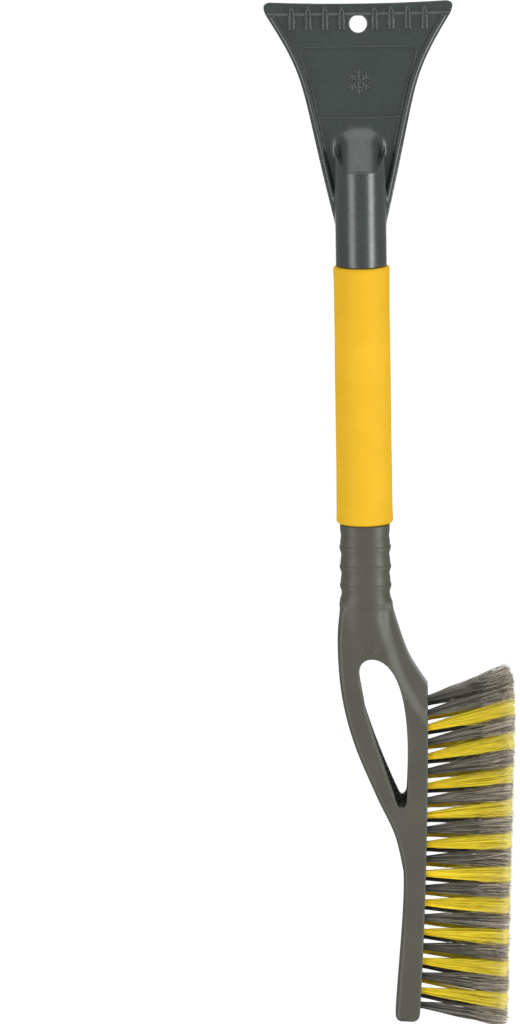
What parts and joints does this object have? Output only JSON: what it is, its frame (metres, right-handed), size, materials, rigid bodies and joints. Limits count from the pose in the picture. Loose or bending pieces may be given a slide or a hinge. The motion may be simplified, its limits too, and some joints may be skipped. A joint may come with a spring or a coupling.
{
  "type": "snow brush with ice scraper",
  "caption": "Long-handled car snow brush: scraper blade with ice ribs at one end, foam grip, curved stock with a hand opening and two rows of bristles.",
  "frame": {"origin": "centre of the hang hole in the scraper blade, halfway through the plate", "axes": "+Z along the handle towards the scraping edge, +X towards the bristle tips, -Y out of the front face with the ice ribs"},
  "size_m": [0.1399, 0.0405, 0.5988],
  "materials": {
    "head_plastic": "moulded polypropylene, dark cool grey, satin",
    "stock_plastic": "moulded polypropylene, warm grey, satin",
    "grip_foam": "closed-cell foam, yellow, matt",
    "tube_steel": "plain drawn steel",
    "bristle_yellow": "fine filaments, yellow, soft sheen",
    "bristle_dark": "fine filaments, charcoal with frayed pale tips"
  },
  "bodies": {
    "root": {"scraper_head": "head_plastic", "handle_tube": "tube_steel", "foam_grip": "grip_foam", "brush_stock": "stock_plastic", "tuft_front_01": "bristle_dark", "tuft_front_02": "bristle_dark", "tuft_front_03": "bristle_yellow", "tuft_front_04": "bristle_dark", "tuft_front_05": "bristle_yellow", "tuft_front_06": "bristle_dark", "tuft_front_07": "bristle_yellow", "tuft_front_08": "bristle_dark", "tuft_front_09": "bristle_yellow", "tuft_front_10": "bristle_dark", "tuft_front_11": "bristle_yellow", "tuft_front_12": "bristle_dark", "tuft_front_13": "bristle_yellow", "tuft_front_14": "bristle_dark", "tuft_front_15": "bristle_yellow", "tuft_front_16": "bristle_dark", "tuft_front_17": "bristle_yellow", "tuft_front_18": "bristle_dark", "tuft_front_19": "bristle_yellow", "tuft_front_20": "bristle_dark", "tuft_front_21": "bristle_yellow", "tuft_front_22": "bristle_dark", "tuft_back_01": "bristle_dark", "tuft_back_02": "bristle_yellow", "tuft_back_03": "bristle_dark", "tuft_back_04": "bristle_yellow", "tuft_back_05": "bristle_dark", "tuft_back_06": "bristle_yellow", "tuft_back_07": "bristle_dark", "tuft_back_08": "bristle_yellow", "tuft_back_09": "bristle_dark", "tuft_back_10": "bristle_yellow", "tuft_back_11": "bristle_dark", "tuft_back_12": "bristle_yellow", "tuft_back_13": "bristle_dark", "tuft_back_14": "bristle_yellow", "tuft_back_15": "bristle_dark", "tuft_back_16": "bristle_yellow", "tuft_back_17": "bristle_dark", "tuft_back_18": "bristle_yellow", "tuft_back_19": "bristle_dark", "tuft_back_20": "bristle_yellow", "tuft_back_21": "bristle_dark"}
  },
  "joints": []
}
